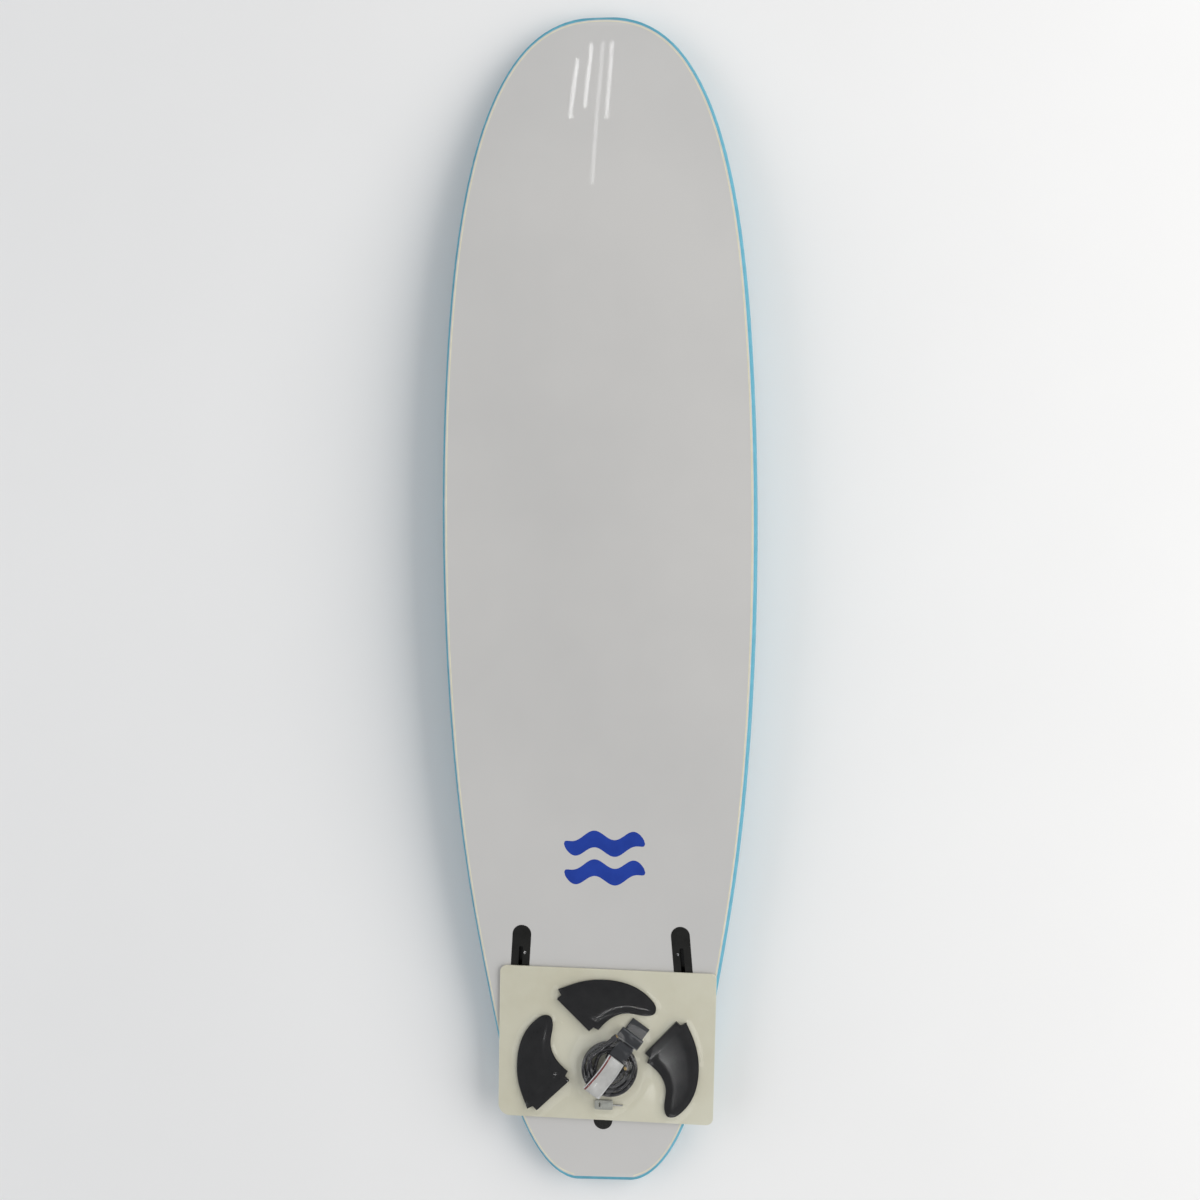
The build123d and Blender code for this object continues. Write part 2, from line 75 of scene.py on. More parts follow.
def axes(origin, x, y, z):
    """A matrix that takes a local frame's metres to the object's."""
    m = Matrix((x, y, z)).transposed().to_4x4()
    m.translation = Vector(origin)
    return m


# The card's top face, centred on the card, and the leash's own frame on it.
CARD_NORMAL = (-0.100631, 0, 0.994924)
CARD_TOP = axes(
    (-0.810243, -0.0085, 0.074627),
    (0.994464, -0.030384, 0.100585),
    (0.030229, 0.999538, 0.003058),
    CARD_NORMAL,
)
LEASH_ALONG = (0.799346, -0.595408, 0.080849)
LEASH = axes(
    (-0.849845, -0.014593, 0.070621),
    LEASH_ALONG,
    (0.592385, 0.803424, 0.059916),
    CARD_NORMAL,
)

# ------------------------------------------------------------------------------------------ camera
CAMERA_AT = Vector((0.0, -0.25, 3.1))
CAMERA_TO = Vector((-0.0046, 0.0, 0.08))
ROLL = math.radians(-0.2)
LENS = 50.35
SENSOR = 36.0
ahead = (CAMERA_TO - CAMERA_AT).normalized()
right = ahead.cross(Vector((1, 0, 0))).normalized()
up = right.cross(ahead)
look = Matrix((right, up, -ahead)).transposed() @ Matrix.Rotation(ROLL, 3, "Z")
camera_data = bpy.data.cameras.new("camera")
camera_data.lens = LENS
camera_data.sensor_width = SENSOR
camera_data.clip_end = 100.0
camera = bpy.data.objects.new("camera", camera_data)
camera.matrix_world = Matrix.Translation(CAMERA_AT) @ look.to_4x4()
bpy.context.scene.collection.objects.link(camera)
bpy.context.scene.camera = camera

# ------------------------------------------------------------------------------------------ leash cord
CORD = 7.0
# The cord's control points stand STEP degrees apart, pushed out by SWELL so that the curve keeps its radius.
STEP = 22.5
SWELL = 1.0 / (0.75 + 0.25 * math.cos(math.radians(STEP)))
# Radii of the turns, heights of the two layers and of the last turn on top, and where the coil starts.
RADII = (31.4, 39.3, 47.2)
LEAD_RADIUS = 42.0
LOW, HIGH, LEAD = 7.5, 14.9, 22.2
START_ANGLE = 163.3
# Degrees swept at which the cord crosses from one turn to the next.
LOW_TO_MIDDLE, LOW_TO_OUTER, UP = (283, 323), (643, 683), (958, 998)
HIGH_TO_MIDDLE, HIGH_TO_INNER = (1278, 1318), (1593, 1633)
LEAD_UP, LEAD_OUT, LEAD_END = (1820, 1852), (1835, 1882), 1870
# The first turn inside lies loose, drawn in from the wall; all the turns sway a little.
LOOSE, LOOSE_IN, LOOSE_OUT = 6.2, (4, 50), (54, 98)
SWAY, SWAY_PACE, SWAY_START, SWAY_END = 0.28, 1.37, 0.6, (1790, 1830)
# The bend from the rail saver's end into the coil.
SAVER_END_V, SAVER_END_HEIGHT = -21, 11.5
ENTRY_RADIUS, ENTRY_CENTRE_V = 30.6, 9
ENTRY = ((247.5, 10.4), (225.0, 8.7), (202.5, 7.6))
CUFF_END_TURN = 74.5


def ease(x, a, b):
    """Rises smoothly from 0 at a to 1 at b."""
    t = min(1.0, max(0.0, (x - a) / (b - a)))
    return t * t * (3 - 2 * t)


def wound(s):
    """Radius and height of the cord after it has swept s degrees round the coil."""
    inner, middle, outer = RADII
    r = inner + (middle - inner) * ease(s, *LOW_TO_MIDDLE) + (outer - middle) * ease(s, *LOW_TO_OUTER)
    r += (middle - outer) * ease(s, *HIGH_TO_MIDDLE) + (inner - middle) * ease(s, *HIGH_TO_INNER)
    r += (LEAD_RADIUS - inner) * ease(s, *LEAD_OUT)
    z = LOW + (HIGH - LOW) * ease(s, *UP) + (LEAD - HIGH) * ease(s, *LEAD_UP)
    r -= LOOSE * ease(s, *LOOSE_IN) * (1 - ease(s, *LOOSE_OUT))
    sway = SWAY * math.sin(math.radians(s) * SWAY_PACE + SWAY_START)
    return r + sway * (1 - ease(s, *SWAY_END)), z


def leash_point(u, v, z):
    """The object's point at (u, v, z) mm in the leash's frame."""
    return LEASH @ Vector((u * MM, v * MM, z * MM))


route = [(0, SAVER_END_V, SAVER_END_HEIGHT), (-6, SAVER_END_V, SAVER_END_HEIGHT)]
for turn, entry_height in ENTRY:
    a = math.radians(turn)
    route.append((ENTRY_RADIUS * math.cos(a), ENTRY_CENTRE_V + ENTRY_RADIUS * math.sin(a), entry_height))
sweep = 0.0
while sweep < LEAD_END:
    r, z = wound(sweep)
    a = math.radians(START_ANGLE - sweep)
    route.append((r * SWELL * math.cos(a), r * SWELL * math.sin(a), z))
    sweep += STEP
end_turn = math.radians(CUFF_END_TURN)
end = (LEAD_RADIUS * math.cos(end_turn), LEAD_RADIUS * math.sin(end_turn), LEAD)
route.append((end[0] - CORD * math.sin(end_turn), end[1] + CORD * math.cos(end_turn), LEAD))
route.append(end)

cord_data = bpy.data.curves.new("leash_cord", "CURVE")
cord_data.dimensions = "3D"
cord_data.bevel_depth = CORD / 2 * MM
cord_data.bevel_resolution = 5
cord_data.resolution_u = 6
cord_data.use_fill_caps = True
spline = cord_data.splines.new("NURBS")
spline.points.add(len(route) - 1)
for point, place in zip(spline.points, route):
    point.co = (*leash_point(*place), 1.0)
spline.order_u = 3
spline.use_endpoint_u = True
cord = bpy.data.objects.new("leash_cord", cord_data)
bpy.context.scene.collection.objects.link(cord)


# ------------------------------------------------------------------------------------------ materials
def nodes_of(name):
    """A new material, its node tree and its main shader."""
    m = bpy.data.materials.new(name)
    m.use_nodes = True
    tree = m.node_tree
    return m, tree, tree.nodes["Principled BSDF"]


def coords(tree, turn=0.0):
    """The piece's own coordinates in metres, turned about Z."""
    place = tree.nodes.new("ShaderNodeTexCoord")
    mapping = tree.nodes.new("ShaderNodeMapping")
    mapping.inputs["Rotation"].default_value = (0, 0, turn)
    tree.links.new(place.outputs["Object"], mapping.inputs["Vector"])
    return mapping.outputs["Vector"]


def noise_of(tree, scale, detail=4.0, rough=0.55):
    n = tree.nodes.new("ShaderNodeTexNoise")
    n.inputs["Scale"].default_value = scale
    n.inputs["Detail"].default_value = detail
    n.inputs["Roughness"].default_value = rough
    tree.links.new(coords(tree), n.inputs["Vector"])
    return n.outputs["Fac"]


def weave_of(tree, scale, turn):
    """Two crossed bands, over and under."""
    bands = []
    for quarter in (0, 1):
        w = tree.nodes.new("ShaderNodeTexWave")
        w.inputs["Scale"].default_value = scale
        w.inputs["Distortion"].default_value = 0.4
        tree.links.new(coords(tree, turn + quarter * math.pi / 2), w.inputs["Vector"])
        bands.append(w.outputs["Fac"])
    m = tree.nodes.new("ShaderNodeMath")
    m.operation = "MAXIMUM"
    tree.links.new(bands[0], m.inputs[0])
    tree.links.new(bands[1], m.inputs[1])
    return m.outputs[0]


def ramp(tree, fac, low, high):
    """A colour between low and high, as fac goes through its middle range."""
    r = tree.nodes.new("ShaderNodeValToRGB")
    r.color_ramp.elements[0].position = 0.3
    r.color_ramp.elements[1].position = 0.7
    r.color_ramp.elements[0].color = (*low, 1)
    r.color_ramp.elements[1].color = (*high, 1)
    tree.links.new(fac, r.inputs["Fac"])
    return r.outputs["Color"]


GRAIN_DEPTH = 0.0004


def make(
    name,
    low,
    high,
    size,
    rough,
    grain=0.0,
    grain_size=900.0,
    weave=None,
    metal=0.0,
    coat=0.0,
    sheen=0.0,
    spec=0.5,
    coat_rough=0.08,
):
    """A material with mottled colour from low to high, uneven gloss, and fine grain or a weave as (scale, turn)."""
    m, tree, shader = nodes_of(name)
    tree.links.new(ramp(tree, noise_of(tree, size), low, high), shader.inputs["Base Color"])
    gloss = tree.nodes.new("ShaderNodeMapRange")
    gloss.inputs["To Min"].default_value = rough[0]
    gloss.inputs["To Max"].default_value = rough[1]
    tree.links.new(noise_of(tree, size * 6, 3.0), gloss.inputs["Value"])
    tree.links.new(gloss.outputs["Result"], shader.inputs["Roughness"])
    shader.inputs["Metallic"].default_value = metal
    shader.inputs["Coat Weight"].default_value = coat
    shader.inputs["Coat Roughness"].default_value = coat_rough
    shader.inputs["Sheen Weight"].default_value = sheen
    shader.inputs["Specular IOR Level"].default_value = spec
    if grain:
        source = weave_of(tree, *weave) if weave else noise_of(tree, grain_size, 5.0, 0.6)
        bump = tree.nodes.new("ShaderNodeBump")
        bump.inputs["Strength"].default_value = grain
        bump.inputs["Distance"].default_value = GRAIN_DEPTH
        tree.links.new(source, bump.inputs["Height"])
        tree.links.new(bump.outputs["Normal"], shader.inputs["Normal"])
    return m


LEASH_TURN = math.atan2(LEASH_ALONG[1], LEASH_ALONG[0])
slick = make(
    "slick", (0.545, 0.54, 0.53), (0.60, 0.592, 0.578), 2.2, (0.28, 0.38), 0.03, 60.0, coat=0.35, coat_rough=0.02
)
liner = make("liner", (0.70, 0.67, 0.52), (0.78, 0.75, 0.60), 40, (0.55, 0.7), 0.2)
seam_mat = make("seam", (0.66, 0.63, 0.47), (0.76, 0.72, 0.56), 60, (0.4, 0.6), 0.2)
foam = make(
    "deck_foam", (0.085, 0.345, 0.47), (0.11, 0.41, 0.54), 60, (0.45, 0.6), 0.35, weave=(300.0, math.pi / 4)
)
core = make("core_foam", (0.85, 0.85, 0.82), (0.92, 0.92, 0.9), 160, (0.7, 0.9), 0.4, 260.0)
ply = make("ply", (0.42, 0.27, 0.14), (0.58, 0.40, 0.22), 26, (0.5, 0.7), 0.3)
black = make(
    "box_plastic", (0.007, 0.007, 0.006), (0.013, 0.013, 0.012), 50, (0.18, 0.32), 0.06, 700.0, spec=0.35
)
steel = make("steel", (0.52, 0.52, 0.52), (0.66, 0.66, 0.66), 300, (0.25, 0.4), 0.1, metal=1.0)
brass = make("brass", (0.75, 0.52, 0.22), (0.9, 0.66, 0.3), 300, (0.2, 0.35), 0.1, metal=1.0)
card_mat = make("card", (0.66, 0.635, 0.50), (0.74, 0.725, 0.60), 9, (0.35, 0.5), 0.08, 500.0)
fin_mat = make(
    "fin_plastic", (0.006, 0.006, 0.007), (0.013, 0.013, 0.014), 45, (0.32, 0.48), 0.16, 1400.0, spec=0.25
)
cord_mat = make("cord", (0.006, 0.006, 0.008), (0.014, 0.013, 0.017), 120, (0.09, 0.18), 0.04, 600.0, coat=0.45)
fitting = make("fitting", (0.009, 0.009, 0.011), (0.018, 0.018, 0.022), 120, (0.14, 0.26), 0.05, coat=0.3)
key_mat = make("key", (0.32, 0.33, 0.30), (0.40, 0.41, 0.37), 90, (0.35, 0.5), 0.12)
mark_mat = make("mark", (0.008, 0.038, 0.30), (0.012, 0.05, 0.36), 30, (0.16, 0.26), 0.03, 400.0)


def cloth(name, low, high, size, rough, grain, threads, sheen=0.0):
    """Woven cloth whose threads follow the leash."""
    return make(name, low, high, size, rough, grain, weave=(threads, LEASH_TURN), sheen=sheen)


cuff_mat = cloth("cuff", (0.010, 0.012, 0.016), (0.022, 0.025, 0.032), 120, (0.5, 0.7), 0.6, 420.0, 0.12)
binding_mat = cloth("binding", (0.10, 0.11, 0.12), (0.17, 0.18, 0.19), 200, (0.4, 0.6), 0.6, 700.0)
saver_mat = cloth("saver", (0.56, 0.56, 0.54), (0.66, 0.66, 0.64), 120, (0.45, 0.6), 0.6, 500.0, 0.2)
white_mat = cloth("saver_edge", (0.68, 0.68, 0.68), (0.78, 0.78, 0.78), 200, (0.35, 0.5), 0.4, 700.0)
red_mat = cloth("saver_line", (0.17, 0.022, 0.022), (0.25, 0.035, 0.035), 200, (0.4, 0.55), 0.4, 700.0)

# The film: mostly clear, with more mirror the more it turns from the eye.
film_mat, film_tree, film_shader = nodes_of("film")
film_tree.nodes.remove(film_shader)
mirror = film_tree.nodes.new("ShaderNodeBsdfGlossy")
mirror.inputs["Color"].default_value = (1, 1, 1, 1)
crinkle = film_tree.nodes.new("ShaderNodeBump")
crinkle.inputs["Strength"].default_value = 0.035
crinkle.inputs["Distance"].default_value = 0.001
film_tree.links.new(noise_of(film_tree, 70.0, 3.0, 0.4), crinkle.inputs["Height"])
film_tree.links.new(crinkle.outputs["Normal"], mirror.inputs["Normal"])
film_rough = film_tree.nodes.new("ShaderNodeMapRange")
film_rough.inputs["To Min"].default_value = 0.05
film_rough.inputs["To Max"].default_value = 0.16
film_tree.links.new(noise_of(film_tree, 30.0), film_rough.inputs["Value"])
film_tree.links.new(film_rough.outputs["Result"], mirror.inputs["Roughness"])
clear = film_tree.nodes.new("ShaderNodeBsdfTransparent")
facing = film_tree.nodes.new("ShaderNodeLayerWeight")
facing.inputs["Blend"].default_value = 0.25
mirror_share = film_tree.nodes.new("ShaderNodeMapRange")
mirror_share.inputs["To Min"].default_value = 0.024
mirror_share.inputs["To Max"].default_value = 0.34
film_tree.links.new(facing.outputs["Fresnel"], mirror_share.inputs["Value"])
mix = film_tree.nodes.new("ShaderNodeMixShader")
film_tree.links.new(mirror_share.outputs["Result"], mix.inputs["Fac"])
film_tree.links.new(clear.outputs["BSDF"], mix.inputs[1])
film_tree.links.new(mirror.outputs["BSDF"], mix.inputs[2])
film_tree.links.new(mix.outputs["Shader"], film_tree.nodes["Material Output"].inputs["Surface"])


def paint(node, material):
    """Gives a CAD node a material, in every slot it has."""
    o = nodes[node]
    if not o.material_slots:
        o.data.materials.append(material)
    for s in o.material_slots:
        s.material = material


paint("deck_skin", foam)
paint("bottom_slick", slick)
paint("bottom_liner", liner)
for node in ("core_left", "core_centre", "core_right"):
    paint(node, core)
for node in ("stringer_left", "stringer_right"):
    paint(node, ply)
for side in ("left", "right", "centre"):
    paint(f"fin_box_{side}", black)
    for number in (1, 2):
        paint(f"grub_screw_{side}_{number}", steel)
paint("leash_plug_cup", black)
paint("leash_plug_bar", steel)
paint("pack_card", card_mat)
paint("fin_key_grip", key_mat)
paint("fin_key_bit", steel)
for name in ("cuff", "saver"):
    paint(f"leash_horn_{name}", fitting)
    paint(f"leash_swivel_{name}", fitting)
    paint(f"leash_mount_{name}", fitting)
    paint(f"leash_pin_{name}", brass)


# ------------------------------------------------------------------------------------------ mesh tools
def piece(name, verts, faces, material, smooth=True):
    """A mesh object in the scene, with one material."""
    mesh = bpy.data.meshes.new(name)
    mesh.from_pydata([tuple(v) for v in verts], [], faces)
    mesh.validate()
    mesh.materials.append(material)
    for p in mesh.polygons:
        p.use_smooth = smooth
    o = bpy.data.objects.new(name, mesh)
    bpy.context.scene.collection.objects.link(o)
    return o


def through(points, count):
    """A smooth curve through points, as count even steps: a natural cubic over chord length."""
    p = np.array(points, float)
    t = np.concatenate([[0], np.cumsum(np.linalg.norm(np.diff(p, axis=0), axis=1))])
    n = len(p)
    h = np.diff(t)
    a = np.eye(n)
    b = np.zeros((n, p.shape[1]))
    for i in range(1, n - 1):
        a[i, i - 1 : i + 2] = h[i - 1], 2 * (h[i - 1] + h[i]), h[i]
        b[i] = 6 * ((p[i + 1] - p[i]) / h[i] - (p[i] - p[i - 1]) / h[i - 1])
    m = np.linalg.solve(a, b)
    out = []
    for x in np.linspace(0, t[-1], count):
        i = min(n - 2, max(0, int(np.searchsorted(t, x)) - 1))
        left, gone = (t[i + 1] - x), (x - t[i])
        out.append(
            (m[i] * left**3 + m[i + 1] * gone**3) / (6 * h[i])
            + (p[i] / h[i] - m[i] * h[i] / 6) * left
            + (p[i + 1] / h[i] - m[i + 1] * h[i] / 6) * gone
        )
    return np.array(out)


def tree_of(*objects):
    """A ray-casting tree of objects as they show, in the row frame."""
    graph = bpy.context.evaluated_depsgraph_get()
    verts, faces = [], []
    for o in objects:
        shown = o.evaluated_get(graph)
        mesh = shown.to_mesh()
        base = len(verts)
        verts += [o.matrix_world @ v.co for v in mesh.vertices]
        faces += [[base + i for i in p.vertices] for p in mesh.polygons]
        shown.to_mesh_clear()
    return BVHTree.FromPolygons(verts, faces)


# ------------------------------------------------------------------------------------------ slick
ABOVE_ALL = 0.5
slick_tree = tree_of(nodes["bottom_slick"])


def on_slick(x, y, lift):
    """The point on the slick's face over or under (x, y), raised by lift."""
    hit = slick_tree.ray_cast(Vector((x, y, ABOVE_ALL)), Vector((0, 0, -1)))[0]
    return None if hit is None else Vector((x, y, hit.z + lift))


# The board's half plan shape in mm: station from the tail and half width.
HALF_LENGTH, HALF_WIDTH = 1067.0, 284.0
PLAN = [
    (0, 56),
    (10, 80),
    (40, 111.5),
    (100, 145.5),
    (295, 197.5),
    (554, 242.5),
    (882, 274.5),
    (1230, 284),
    (1568, 272.5),
    (1863, 232.5),
    (2014, 179.5),
    (2091, 122.5),
    (2122, 72),
    (2134, 0),
]
SEAM_NEAR, SEAM_FAR, SEAM_THICK, SEAM_EDGE = 9.0, 11.2, 0.3, 0.03
whole_plan = PLAN + [(s, -w) for s, w in reversed(PLAN[:-1])]
outline = through(whole_plan, 700)


def slick_ribbon(name, near, far, thick, material):
    """A thin bead along the slick's edge, from near to far inside the board's outline."""
    rows = []
    for s, w in outline:
        row = []
        for inset in (near, (near + far) / 2, far):
            x = (s - HALF_LENGTH) * (1 - inset / HALF_LENGTH) * MM
            y = w * (1 - inset / HALF_WIDTH) * MM
            row.append(on_slick(x, y, (SEAM_EDGE if inset in (near, far) else thick) * MM))
        if None not in row:
            rows.append(row)
    verts = [v for row in rows for v in row]
    faces = []
    for i in range(len(rows) - 1):
        for j in (0, 1):
            k = 3 * i + j
            faces.append((k, k + 1, k + 4, k + 3))
    return piece(name, verts, faces, material)


seam = slick_ribbon("slick_seam", SEAM_NEAR, SEAM_FAR, SEAM_THICK, seam_mat)
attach(seam, "board")

# The mark: two plain wavy stripes, in metres.
MARK_X, MARK_Y = -0.468, -0.008
MARK_HALF_SPAN, STRIPE_HALF, STRIPE_END, WAVE = 0.073, 0.0148, 0.0004, 0.0085
MARK_LIFT = 0.00008
for name, middle in (("mark_wave_upper", 0.026), ("mark_wave_lower", -0.026)):
    verts, faces = [], []
    across, along = 96, 8
    for i in range(across + 1):
        t = -1 + 2 * i / across
        half = STRIPE_HALF * math.sqrt(max(0.0, 1 - abs(t) ** 5)) + STRIPE_END
        bend = WAVE * math.sin(2 * math.pi * t)
        for j in range(along + 1):
            w = -1 + 2 * j / along
            verts.append(on_slick(MARK_X + middle + bend + w * half, MARK_Y + MARK_HALF_SPAN * t, MARK_LIFT))
    for i in range(across):
        for j in range(along):
            k = (along + 1) * i + j
            faces.append((k, k + along + 1, k + along + 2, k + 1))
    mark = piece(name, verts, faces, mark_mat)
    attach(mark, "board")

# ------------------------------------------------------------------------------------------ fins
# A fin in its own frame, mm: x along its base, y up its blade. FINS has each one's place and turn on the card.
FIN_THICK, FIN_LIFT = 7.0, 0.3
FIN_HEIGHT, FIN_REACH, TAB_DEPTH = 108, 152, 14
BLADE = [
    (0, 0),
    (19, 41),
    (56, 83),
    (100, 106),
    (130, 108.5),
    (145.5, 104),
    (151.5, 95),
    (148, 85.5),
    (118, 60),
    (104.5, 35),
    (103, 0),
]
TAB = [(103, 0), (93, -3), (93, -TAB_DEPTH), (11, -TAB_DEPTH), (11, -3), (0, 0)]
FINS = {
    "fin_top": (101.6, 88.8, -134.0),
    "fin_left": (-124.0, 142.1, -44.9),
    "fin_right": (50.3, -143.2, 138.1),
}
BLADE_POINTS, TAB_STEP, FIN_CELL, FIN_CELL_MARGIN = 190, 1.6, 2.2, 1.2
# The foil: half thickness at the edge, how far in from the edge it swells, at base and tip, and the thinner tip.
FOIL_EDGE, FOIL_REACH, FOIL_REACH_LOSS, TIP_THINNING = 0.45, 26.0, 10.0, 0.35


def run(points, step):
    """Even steps along straight lines from point to point."""
    out = []
    for (x0, y0), (x1, y1) in zip(points[:-1], points[1:]):
        count = max(1, round(math.hypot(x1 - x0, y1 - y0) / step))
        out += [(x0 + (x1 - x0) * i / count, y0 + (y1 - y0) * i / count) for i in range(count)]
    return out


edge = [tuple(p) for p in through(BLADE, BLADE_POINTS)[:-1]] + run(TAB, TAB_STEP)
edge_array = np.array(edge)


def inside(x, y):
    """True if (x, y) is inside the fin's outline."""
    a, b = edge_array, np.roll(edge_array, -1, axis=0)
    cross = (a[:, 1] > y) != (b[:, 1] > y)
    at = a[:, 0] + (y - a[:, 1]) * (b[:, 0] - a[:, 0]) / np.where(cross, b[:, 1] - a[:, 1], 1)
    return int(np.sum(cross & (x < at))) % 2 == 1


def edge_distance(x, y):
    return float(np.min(np.hypot(edge_array[:, 0] - x, edge_array[:, 1] - y)))


grid = []
for row, y in enumerate(np.arange(1 - TAB_DEPTH, FIN_HEIGHT, FIN_CELL)):
    for x in np.arange(1 + (row % 2) * FIN_CELL / 2, FIN_REACH, FIN_CELL):
        if inside(x, y) and edge_distance(x, y) > FIN_CELL_MARGIN:
            grid.append((float(x), float(y)))
flat_points = [Vector(p) for p in edge + grid]
ring = list(range(len(edge)))
placed, _, triangles, _, _, _ = delaunay_2d_cdt(
    flat_points, [(i, (i + 1) % len(edge)) for i in ring], [], 1, 1e-5
)


def half_thick(x, y):
    """Half the fin's thickness: full on the tab, foiled thin at the blade's edges."""
    d = edge_distance(x, y)
    round_over = math.sqrt(max(0.0, 1 - (1 - min(1.0, d)) ** 2))
    tab = FIN_THICK / 2 * (0.82 + 0.18 * round_over)
    up_blade = max(0.0, y) / FIN_HEIGHT
    swell = math.sin(min(1.0, d / (FOIL_REACH - FOIL_REACH_LOSS * min(1.0, up_blade))) * math.pi / 2)
    foil = FOIL_EDGE + (FIN_THICK / 2 - FOIL_EDGE) * swell * (1 - TIP_THINNING * up_blade)
    blade = ease(y, -1.0, 7.0)
    return tab * (1 - blade) + foil * blade


fin_profile = [(p.x, p.y, half_thick(p.x, p.y)) for p in placed]
for name, (x0, y0, turn) in FINS.items():
    shift = Matrix.Translation((x0 * MM, y0 * MM, FIN_LIFT * MM))
    place = CARD_TOP @ shift @ Matrix.Rotation(math.radians(turn), 4, "Z")
    verts = [place @ Vector((x * MM, y * MM, (FIN_THICK / 2 + h) * MM)) for x, y, h in fin_profile]
    verts += [place @ Vector((x * MM, y * MM, (FIN_THICK / 2 - h) * MM)) for x, y, h in fin_profile]
    n = len(fin_profile)
    faces = [tuple(f) for f in triangles] + [tuple(n + i for i in reversed(f)) for f in triangles]
    around = len(edge)
    faces += [((i + 1) % around, i, n + i, n + (i + 1) % around) for i in range(around)]
    fin = piece(f"{name}_blade", verts, faces, fin_mat)
    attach(fin, name)
    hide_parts(name)


# ------------------------------------------------------------------------------------------ straps and cuff
STRAP_POINTS, STRAP_AROUND = 90, 28


def strap(name, path, low, high, thick, material, bow=0.0, lift=0.0, soft=2.4, waist=0.0):
    """A flat strap in the leash's frame along path, (u, z) in mm, from low to high across.

    bow and waist shift and narrow it at mid length, lift raises it off the path, and soft rounds its section.
    """
    line = through(path, STRAP_POINTS)
    verts, faces = [], []
    around = STRAP_AROUND
    count = len(line)
    for i, (u, z) in enumerate(line):
        ahead_point = line[min(count - 1, i + 1)] - line[max(0, i - 1)]
        tangent = ahead_point / np.linalg.norm(ahead_point)
        normal = np.array([-tangent[1], tangent[0]])
        share = i / (count - 1)
        shift = bow * math.sin(math.pi * share)
        narrow = waist * math.sin(math.pi * share)
        for j in range(around):
            a = 2 * math.pi * j / around
            c, s = math.cos(a), math.sin(a)
            across = math.copysign(abs(c) ** (1 / soft), c)
            through_share = math.copysign(abs(s) ** 0.7, s)
            v = (low + high) / 2 + ((high - low) / 2 - narrow) * across + shift
            w = thick / 2 * through_share + lift
            verts.append(leash_point(u + normal[0] * w, v, z + normal[1] * w))
    for i in range(count - 1):
        for j in range(around):
            k = (j + 1) % around
            faces.append((i * around + j, i * around + k, (i + 1) * around + k, (i + 1) * around + j))
    faces.append(tuple(reversed(range(around))))
    faces.append(tuple((count - 1) * around + j for j in range(around)))
    o = piece(name, verts, faces, material)
    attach(o, "leash")
    return o


STRAP_LOW, STRAP_HIGH = -13, 19
CUFF_PATH = [(50, 1.9), (38, 1.8), (22, 1.8), (15.6, 3.2), (14, 6), (14, 15), (15.6, 18.4), (20, 20.0)]
CUFF_PATH += [(36, 20.3), (50, 20.0), (54.2, 18.4), (55.5, 15), (55.9, 11), (58, 8.6), (62, 7.8), (72, 7.8)]
band = strap("cuff_strap", CUFF_PATH, STRAP_LOW, STRAP_HIGH, 2.8, cuff_mat)
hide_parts("cuff_band")

# The rail saver's run over the coil, and its return under it.
TOP_RUN = [(26, 24.6), (18, 24.5), (8, 24.2), (-6, 22.6), (-22, 20.9), (-38, 20.8), (-50, 20.4), (-54.6, 18.6)]
SAVER_PATH = TOP_RUN + [(-56, 15.2), (-56.2, 8), (-55.4, 4.2), (-52, 2.5), (-44, 2.2), (-18, 2.2)]
TRIM_BOW = -2.6
saver = strap("saver_strap", SAVER_PATH, -14, 19, 2.6, saver_mat, bow=-3.2, waist=0.8)
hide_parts("rail_saver")
for name, low, high, material in (
    ("saver_edge_left", 17.0, 18.8, white_mat),
    ("saver_line", 13.6, 16.4, red_mat),
    ("saver_edge_right", -13.6, -12.0, white_mat),
):
    trim = strap(name, TOP_RUN, low, high, 0.7, material, bow=TRIM_BOW, lift=-1.3, soft=1.6)


PAD_CELLS = 22
PAD_WAIST, PAD_CORNER, PAD_CROWN = 0.025, 0.07, 0.12


def pad(name, near, far, low, high, bottom, top):
    """A padded rectangle in the leash's frame: crowned faces, sides drawn in between the corners."""
    count = PAD_CELLS
    verts, faces = [], []
    for layer in (1, -1):
        for i in range(count + 1):
            for j in range(count + 1):
                a = -1 + 2 * i / count
                b = -1 + 2 * j / count
                a2, b2 = math.sin(a * math.pi / 2), math.sin(b * math.pi / 2)
                corner = math.sqrt(1 - PAD_CORNER * b2 * b2 * a2 * a2)
                u = (near + far) / 2 + (far - near) / 2 * a2 * (1 - PAD_WAIST * (1 - b2 * b2)) * corner
                v = (low + high) / 2 + (high - low) / 2 * b2 * (1 - PAD_WAIST * (1 - a2 * a2)) * corner
                fall = (max(0.0, 1 - a2**8) * max(0.0, 1 - b2**8)) ** 0.5
                half = (top - bottom) / 2
                swell = 0.25 + 0.75 * fall - PAD_CROWN * (a2 * a2 + b2 * b2) / 4
                z = (top + bottom) / 2 + (layer * half * swell if fall > 0 else layer * 0.22 * half)
                verts.append(leash_point(u, v, z))

    def index(layer, i, j):
        return layer * (count + 1) ** 2 + i * (count + 1) + j

    for i in range(count):
        for j in range(count):
            faces.append((index(0, i, j), index(0, i + 1, j), index(0, i + 1, j + 1), index(0, i, j + 1)))
            faces.append((index(1, i, j), index(1, i, j + 1), index(1, i + 1, j + 1), index(1, i + 1, j)))
    for i in range(count):
        for side, flip in ((0, 1), (count, 0)):
            quad = (index(0, i, side), index(0, i + 1, side), index(1, i + 1, side), index(1, i, side))
            faces.append(quad if not flip else tuple(reversed(quad)))
            quad = (index(0, side, i), index(0, side, i + 1), index(1, side, i + 1), index(1, side, i))
            faces.append(tuple(reversed(quad)) if not flip else quad)
    o = piece(name, verts, faces, cuff_mat)
    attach(o, "leash")
    return o


